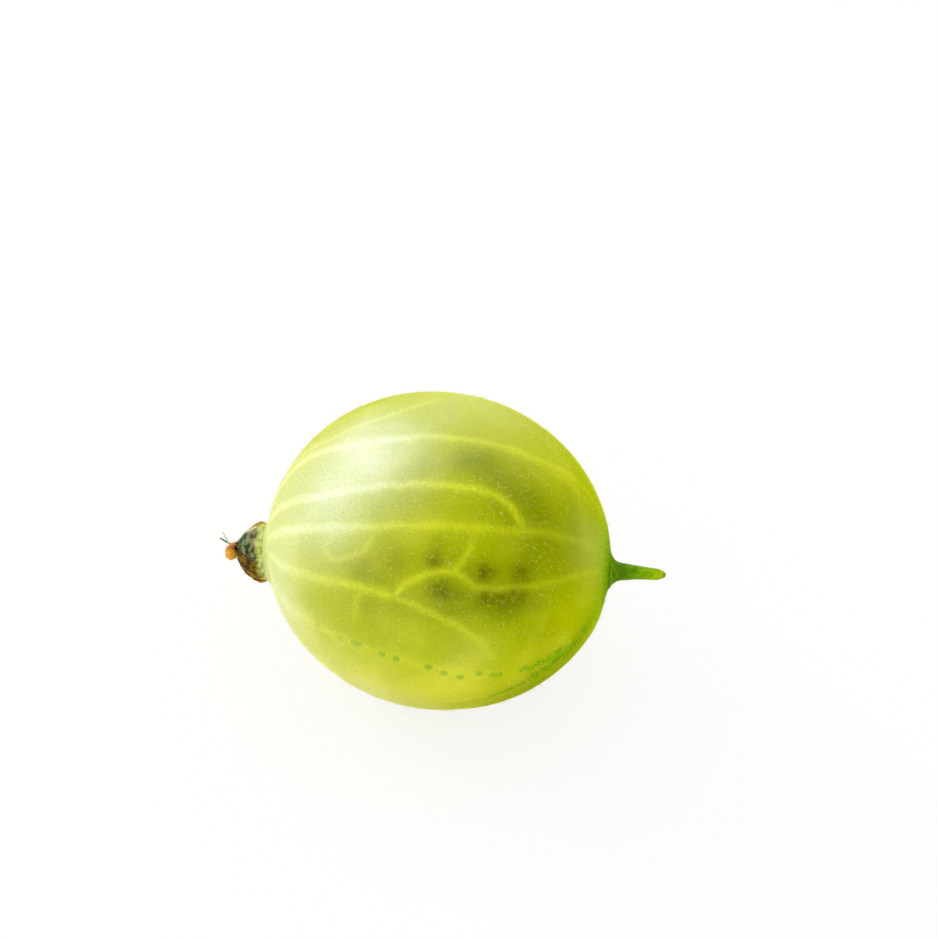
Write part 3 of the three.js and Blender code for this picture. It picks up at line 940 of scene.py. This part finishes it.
def stalk_bow(x):
    """How far the stalk's middle stands above a straight line, at a distance from the skin."""
    return 0.04 * math.sin(1.2 * x)


class GOOSEBERRY_OT_make_stalk(bpy.types.Operator):
    """Make the short green stalk, flared where it grows out of the skin"""

    bl_idname = "gooseberry.make_stalk"
    bl_label = "Make stalk"

    def execute(self, context):
        pole = STALK_BASE - Vector((NECK["height"], 0, 0))
        stations, radii = zip(*STALK)
        flare_end, straight_end = 0.6, stations[-1]
        dome = STALK_LENGTH - straight_end
        along = np.concatenate([
            np.linspace(stations[0], flare_end, 20)[:-1],
            np.linspace(flare_end, straight_end, 50),
            straight_end + dome * np.sin(np.linspace(0, math.pi / 2, 24))[1:-1],
        ])
        rounded = np.clip((along - straight_end) / dome, 0, 1)
        radius = np.interp(along, stations, radii) * np.sqrt(1 - rounded**2)
        turn = np.linspace(0, 2 * math.pi, 64, endpoint=False)
        rings = []
        for x, r in zip(along, radius):
            grown = min(1.0, x / 0.8)
            ridges = sum(height * np.sin(count * turn + twist * x) for count, twist, height in STALK_RIDGES)
            lump = 0.05 * lumps(np.stack([2.2 * x + 0 * turn, np.cos(turn), np.sin(turn)], axis=-1), 1.0)
            section = r * (1 + grown * (ridges + lump))
            rings.append(np.stack([x + 0 * turn, -section * np.sin(turn),
                                   section * np.cos(turn) + stalk_bow(x)], axis=-1))
        start = np.array(pole) + np.array([along[0], 0, 0]) * MM
        end = np.array(pole) + np.array([STALK_LENGTH, 0, stalk_bow(STALK_LENGTH)]) * MM
        vertices, faces = loft(np.array(rings) * MM + np.array(pole), start, end)
        stalk = mesh_object("green_stalk", vertices, faces, stalk_material())
        set_attribute(stalk, "along", (vertices[:, 0] - pole.x) / (STALK_LENGTH * MM))
        stand_for(stalk, "stalk", "stalk")
        return {"FINISHED"}


def flower_points(points):
    """Rows of (back, out, up) millimetres from the flower's base, in the model's frame."""
    turn = np.array(Vector((0, 1, 0)).rotation_difference(FLOWER_AXIS).to_matrix())
    return np.array(FLOWER_BASE) + np.asarray(points) @ turn.T * MM


def husk_radius(out):
    """The dried flower's radius at a distance from its base."""
    return np.interp(out, *zip(*HUSK))


def round_flower(radius, angle, out):
    """Points by their distance from the flower's axis, degrees round it and distance along it."""
    turn = np.radians(angle)
    return np.stack(np.broadcast_arrays(np.sin(turn) * radius, out, np.cos(turn) * radius), axis=-1)


def sepal_marks(vertices, angle, side):
    """Where a sepal is living green, straw-coloured, brown and tan, and where it is amber with a painted glow
    of light shining through it, at each vertex.
    """
    out = vertices[:, 1]
    blot = lumps(vertices, 0.35, 40.0)
    from_front = (angle - HUSK_FRONT + 180) % 360 - 180
    lower = smooth(-18, -30, from_front + 6 * blot)
    upper = smooth(46, 56, from_front)
    # Painted light: amber on the sepals at the two sides across the view, where light would shine through
    # them.
    backlit_sides = bump_at(from_front, -86, 20) + bump_at(from_front, 78, 22)
    edge = bump_at(side, -0.9, 0.16) * smooth(0.5, 1.0, out)
    band = bump_at(out, 0.45, 0.22) * bump_at(from_front, 12, 22)
    return {
        "living": smooth(0.66, 0.1, out + 0.3 * blot + 0.16 * lower),
        "straw": 0.9 * bump_at(side, 0.93, 0.13) * smooth(0.2, 0.7, out) * smooth(10, 30, from_front),
        "brown": lower + 0.9 * upper,
        "amber": np.clip(backlit_sides, 0, 1) * smooth(0.1, 0.5, out) * smooth(2.1, 1.5, out),
        "tan": edge + band,
    }


def make_sepal(index, length, material):
    """A crumpled sepal: nearly full width for most of its length, then narrowing to a folded tip."""
    rows, columns = 48, 40
    share = np.linspace(0, 1, rows)[:, None]
    side = np.linspace(-1, 1, columns)[None, :]
    out = HUSK_START + share * (length - HUSK_START)
    half_width = (40 - 5 * share) * (1 - 0.5 * smooth(0.72, 1.0, share))
    middle = SEPAL_TURN + 360 / len(SEPAL_LENGTHS) * index
    untwisted = middle + half_width * side
    angle = untwisted + SEPAL_TWIST * smooth(0.8, 2.0, out)
    # One edge is lifted, so that each sepal lies over the next one's edge.
    radius = husk_radius(out) + 0.05 * side
    where = round_flower(radius, angle, out).reshape(-1, 3)
    folds, wrinkles, rough = (
        lumps(where, size, shift + 7.0 * index).reshape(angle.shape)
        for size, shift in ((0.7, 0.0), (0.28, 3.0), (0.12, 5.0))
    )
    radius = radius + 0.07 * folds * smooth(0, 0.4, out)
    radius = radius + (0.05 * wrinkles + 0.02 * rough) * (0.4 + 0.6 * share)
    keel = 0.05 * bump_at(side, 0, 0.15)
    rims = 0.07 * bump_at(side, 1, 0.12) - 0.05 * bump_at(side, -1, 0.2)
    radius = radius + (keel + rims) * smooth(0.1, 0.6, out)
    reach = out + 0.1 * (1 - np.abs(side)) * share + 0.05 * wrinkles * share

    outside = round_flower(radius, angle, reach)
    inside = round_flower(radius - SEPAL_THICKNESS, angle, reach)
    rings = np.concatenate([outside, inside[:, ::-1]], axis=1)
    vertices, faces = loft(rings, rings[0].mean(0), rings[-1].mean(0))
    sepal = mesh_object(f"dried_sepal_{index + 1}", flower_points(vertices), faces, material)

    both_ways = np.concatenate([untwisted, untwisted[:, ::-1]], axis=1).ravel()
    round_about = np.append(both_ways, [middle, middle]) % 360
    across = np.append(np.tile(np.concatenate([side[0], side[0][::-1]]), rows), [0, 0])
    for name, values in sepal_marks(vertices, round_about, across).items():
        set_attribute(sepal, name, np.clip(values, 0, 1))
    stand_for(sepal, "dried_sepal", f"sepal_{index + 1}")


class GOOSEBERRY_OT_make_sepals(bpy.types.Operator):
    """Make the five dried, crumpled sepals folded in round the flower tube"""

    bl_idname = "gooseberry.make_sepals"
    bl_label = "Make sepals"

    def execute(self, context):
        material = sepal_material()
        for index, length in enumerate(SEPAL_LENGTHS):
            make_sepal(index, length, material)
        return {"FINISHED"}


def make_tube():
    """The dried cup of the flower, inside the sepals."""
    end = NUB["start"] - 0.05
    angle = np.linspace(0, 360, CORE_SIDES, endpoint=False)
    rings = [round_flower(husk_radius(out) - 0.22, angle, out) for out in np.linspace(HUSK_START, end, 30)]
    vertices, faces = loft(rings, (0, HUSK_START, 0), (0, end, 0))
    tube = mesh_object("dried_flower_tube", flower_points(vertices), faces, tube_material())
    stand_for(tube, "dried_flower", "flower_tube")


def make_nub():
    """The withered petals and stamens: one uneven lump, a little waisted."""
    polar = np.linspace(0, math.pi, 50)[1:-1]
    angle = np.linspace(0, 360, CORE_SIDES, endpoint=False)
    polar, angle = np.meshgrid(polar, angle, indexing="ij")
    way = round_flower(np.sin(polar), angle, -np.cos(polar))
    rows = way.reshape(-1, 3)
    up = rows @ np.array([0.7, 0, 0.7])
    crease = bump_at(up + 0.3 * rows[:, 1], 0.15, 0.16)
    swell = 1.0 - 0.03 * crease + 0.15 * lumps(rows, 0.5, 2.0) + 0.06 * lumps(rows, 0.22, 4.0)
    shape = rows * (NUB["radius"] * swell)[:, None]
    half = 0.5 * (NUB["end"] - NUB["start"])
    shape[:, 1] *= half / NUB["radius"] * 1.12
    shape[:, 1] += NUB["start"] + half - 0.08 * up
    start, end = (0, NUB["start"] - 0.08, 0), (0, NUB["end"] - 0.02, 0)
    vertices, faces = loft(shape.reshape(way.shape), start, end)
    nub = mesh_object("withered_petals", flower_points(vertices), faces, tip_material())
    # Painted shade: darker in the crease and in the recess at the base, where the lump sits in the flower
    # tube.
    recess_shade = bump_at(rows[:, 1], -0.75, 0.5) * bump_at(up, 0.35, 0.5)
    fold_shade = np.clip(0.15 * crease + 1.1 * recess_shade, 0, 1)
    set_attribute(nub, "fold_shade", np.append(fold_shade, [1, 0.3]))
    set_attribute(nub, "golden", np.append(smooth(0.7, -0.4, up), [0.5, 0.5]))
    stand_for(nub, "withered_tip", "withered_tip")


def make_scrap():
    """A papery scrap of petal that lies over the nub."""
    along = np.linspace(0, 1, 16)[:, None]
    across = np.linspace(-1, 1, 12)[None, :]
    lift = 0.93 - 0.4 * along - 0.12 * across**2 + 0.03 * np.sin(9 * along + 3 * across)
    wide = 0.32 * across * (1 - 0.6 * along)
    reach = 1.72 + 0.85 * along + 0 * across
    top, bottom = (
        np.stack([0.7 * (lift - sink) + 0.7 * wide, reach, 0.7 * (lift - sink) - 0.7 * wide], axis=-1)
        for sink in (0.0, 0.05)
    )
    rings = np.concatenate([top, bottom[:, ::-1]], axis=1)
    vertices, faces = loft(rings, rings[0].mean(0), rings[-1].mean(0))
    scrap = mesh_object("petal_scrap", flower_points(vertices), faces, petal_material())
    stand_for(scrap, "withered_tip")


def make_thread(number, path, colour, thickness):
    """One dry thread of the style, thinner towards its tip."""
    line = spline([(back, out, up) for out, back, up in path], 8)
    tangent = np.gradient(line, axis=0)
    tangent /= np.linalg.norm(tangent, axis=1)[:, None]
    side = np.cross(tangent, [0.3, 0.2, -1.0])
    side /= np.linalg.norm(side, axis=1)[:, None]
    other = np.cross(tangent, side)
    circle = np.linspace(0, 2 * math.pi, 10, endpoint=False)
    radius = thickness * (1 - 0.45 * np.linspace(0, 1, len(line)))
    rings = [
        p + r * (np.outer(np.cos(circle), s) + np.outer(np.sin(circle), o))
        for p, s, o, r in zip(line, side, other, radius)
    ]
    vertices, faces = loft(rings, line[0], line[-1])
    material = thread_material(number, colour)
    thread = mesh_object(f"style_thread_{number}", flower_points(vertices), faces, material)
    stand_for(thread, "fibre", f"style_{number}")


class GOOSEBERRY_OT_make_flower_core(bpy.types.Operator):
    """Make the dried flower tube, the withered petals in its mouth and the style's two threads"""

    bl_idname = "gooseberry.make_flower_core"
    bl_label = "Make flower core"

    def execute(self, context):
        make_tube()
        make_nub()
        make_scrap()
        for number, (path, colour, thickness) in enumerate(STYLES, 1):
            make_thread(number, path, colour, thickness)
        return {"FINISHED"}


def seen_directly(tree):
    """Adds nodes that give 1 to camera, glossy and transmission rays, and 0 to the rays that light things."""
    rays = add_node(tree, "ShaderNodeLightPath").outputs
    either = calculate(tree, "MAXIMUM", rays["Is Camera Ray"], rays["Is Glossy Ray"])
    return calculate(tree, "MAXIMUM", either, rays["Is Transmission Ray"])


def card_material():
    """White card for the tabletop; seen straight on it is lifted to white, with its shadow kept."""
    material = bpy.data.materials.new("white_tabletop")
    material.use_nodes = True
    tree = material.node_tree
    tree.nodes.clear()
    card = add_node(tree, "ShaderNodeBsdfDiffuse", {}, {"Color": linear("#f8f8f7")})
    white = add_node(tree, "ShaderNodeEmission", {}, {"Strength": 1.0})
    lift = product(tree, seen_directly(tree), FLOOR_LIFT)
    shown = add_node(tree, "ShaderNodeMixShader", {}, {0: lift, 1: card, 2: white})
    add_node(tree, "ShaderNodeOutputMaterial", {}, {"Surface": shown})
    return material


def add_window(scene):
    """A soft light from the left, behind and a little above: the side of the pale wax and of the painted
    sheen.
    """
    lamp = bpy.data.lights.new("window", "AREA")
    lamp.shape = "SQUARE"
    lamp.size = WINDOW["size"]
    lamp.energy = WINDOW["watts"]
    window = bpy.data.objects.new("window", lamp)
    scene.collection.objects.link(window)
    toward = Vector(WINDOW["toward"]).normalized()
    window.location = BODY_CENTRE + toward * WINDOW["distance"]
    window.rotation_euler = toward.to_track_quat("Z", "Y").to_euler()


def add_camera(scene, settings):
    """A long lens that looks down on the berry, which stands left of the middle and below it."""
    az, el = settings.azimuth, settings.elevation
    right = Vector((math.cos(az), math.sin(az), 0))
    back = Vector((math.sin(az) * math.cos(el), -math.cos(az) * math.cos(el), math.sin(el)))
    up = back.cross(right)
    camera = bpy.data.cameras.new("camera")
    camera.lens = settings.lens
    camera.sensor_width = 36
    view = bpy.data.objects.new("camera", camera)
    scene.collection.objects.link(view)
    target = BODY_CENTRE + right * VIEW_SHIFT["right"] + up * VIEW_SHIFT["up"]
    turn = Matrix((right, up, back)).transposed().to_4x4()
    view.matrix_world = Matrix.Translation(target + back * settings.distance) @ turn
    scene.camera = view


class GOOSEBERRY_OT_make_stage(bpy.types.Operator):
    """Make the pale floor, the window light, the white surroundings and the camera"""

    bl_idname = "gooseberry.make_stage"
    bl_label = "Make stage"

    def execute(self, context):
        scene = context.scene
        scene.view_settings.view_transform = "Standard"

        corners = [(x * FLOOR_REACH, y * FLOOR_REACH, 0) for x, y in ((-1, -1), (1, -1), (1, 1), (-1, 1))]
        floor = mesh_object("floor", corners, [(0, 1, 2, 3)], card_material())

        world = bpy.data.worlds.new("white_surroundings")
        world.use_nodes = True
        world.node_tree.nodes["Background"].inputs["Color"].default_value = (1, 1, 1, 1)
        scene.world = world
        add_window(scene)
        add_camera(scene, scene.gooseberry_stage)
        return {"FINISHED"}


OPERATORS = [
    GOOSEBERRY_OT_make_stage, GOOSEBERRY_OT_make_skin, GOOSEBERRY_OT_make_hairs, GOOSEBERRY_OT_make_stalk,
    GOOSEBERRY_OT_make_sepals, GOOSEBERRY_OT_make_flower_core,
]


class GOOSEBERRY_PT_panel(bpy.types.Panel):
    """The berry's settings, and a button for each group of pieces"""

    bl_label = "Gooseberry"
    bl_idname = "GOOSEBERRY_PT_panel"
    bl_space_type = "VIEW_3D"
    bl_region_type = "UI"
    bl_category = "Gooseberry"

    def draw(self, context):
        for name in SETTINGS:
            box = self.layout.box()
            settings = getattr(context.scene, name)
            for field in settings.bl_rna.properties:
                if field.identifier not in {"rna_type", "name"}:
                    box.prop(settings, field.identifier)
        for operator in OPERATORS:
            self.layout.operator(operator.bl_idname)


SETTINGS = {
    "gooseberry_berry": BerrySettings,
    "gooseberry_hair": HairSettings,
    "gooseberry_stage": StageSettings,
}


def register():
    for cls in [*SETTINGS.values(), *OPERATORS, GOOSEBERRY_PT_panel]:
        bpy.utils.register_class(cls)
    for name, cls in SETTINGS.items():
        setattr(bpy.types.Scene, name, bpy.props.PointerProperty(type=cls))


def unregister():
    for name in SETTINGS:
        delattr(bpy.types.Scene, name)
    for cls in reversed([*SETTINGS.values(), *OPERATORS, GOOSEBERRY_PT_panel]):
        bpy.utils.unregister_class(cls)


def main():
    register()
    bpy.ops.gooseberry.make_stage()
    bpy.ops.gooseberry.make_skin()
    bpy.ops.gooseberry.make_hairs()
    bpy.ops.gooseberry.make_stalk()
    bpy.ops.gooseberry.make_sepals()
    bpy.ops.gooseberry.make_flower_core()


if __name__ == "__main__":
    main()
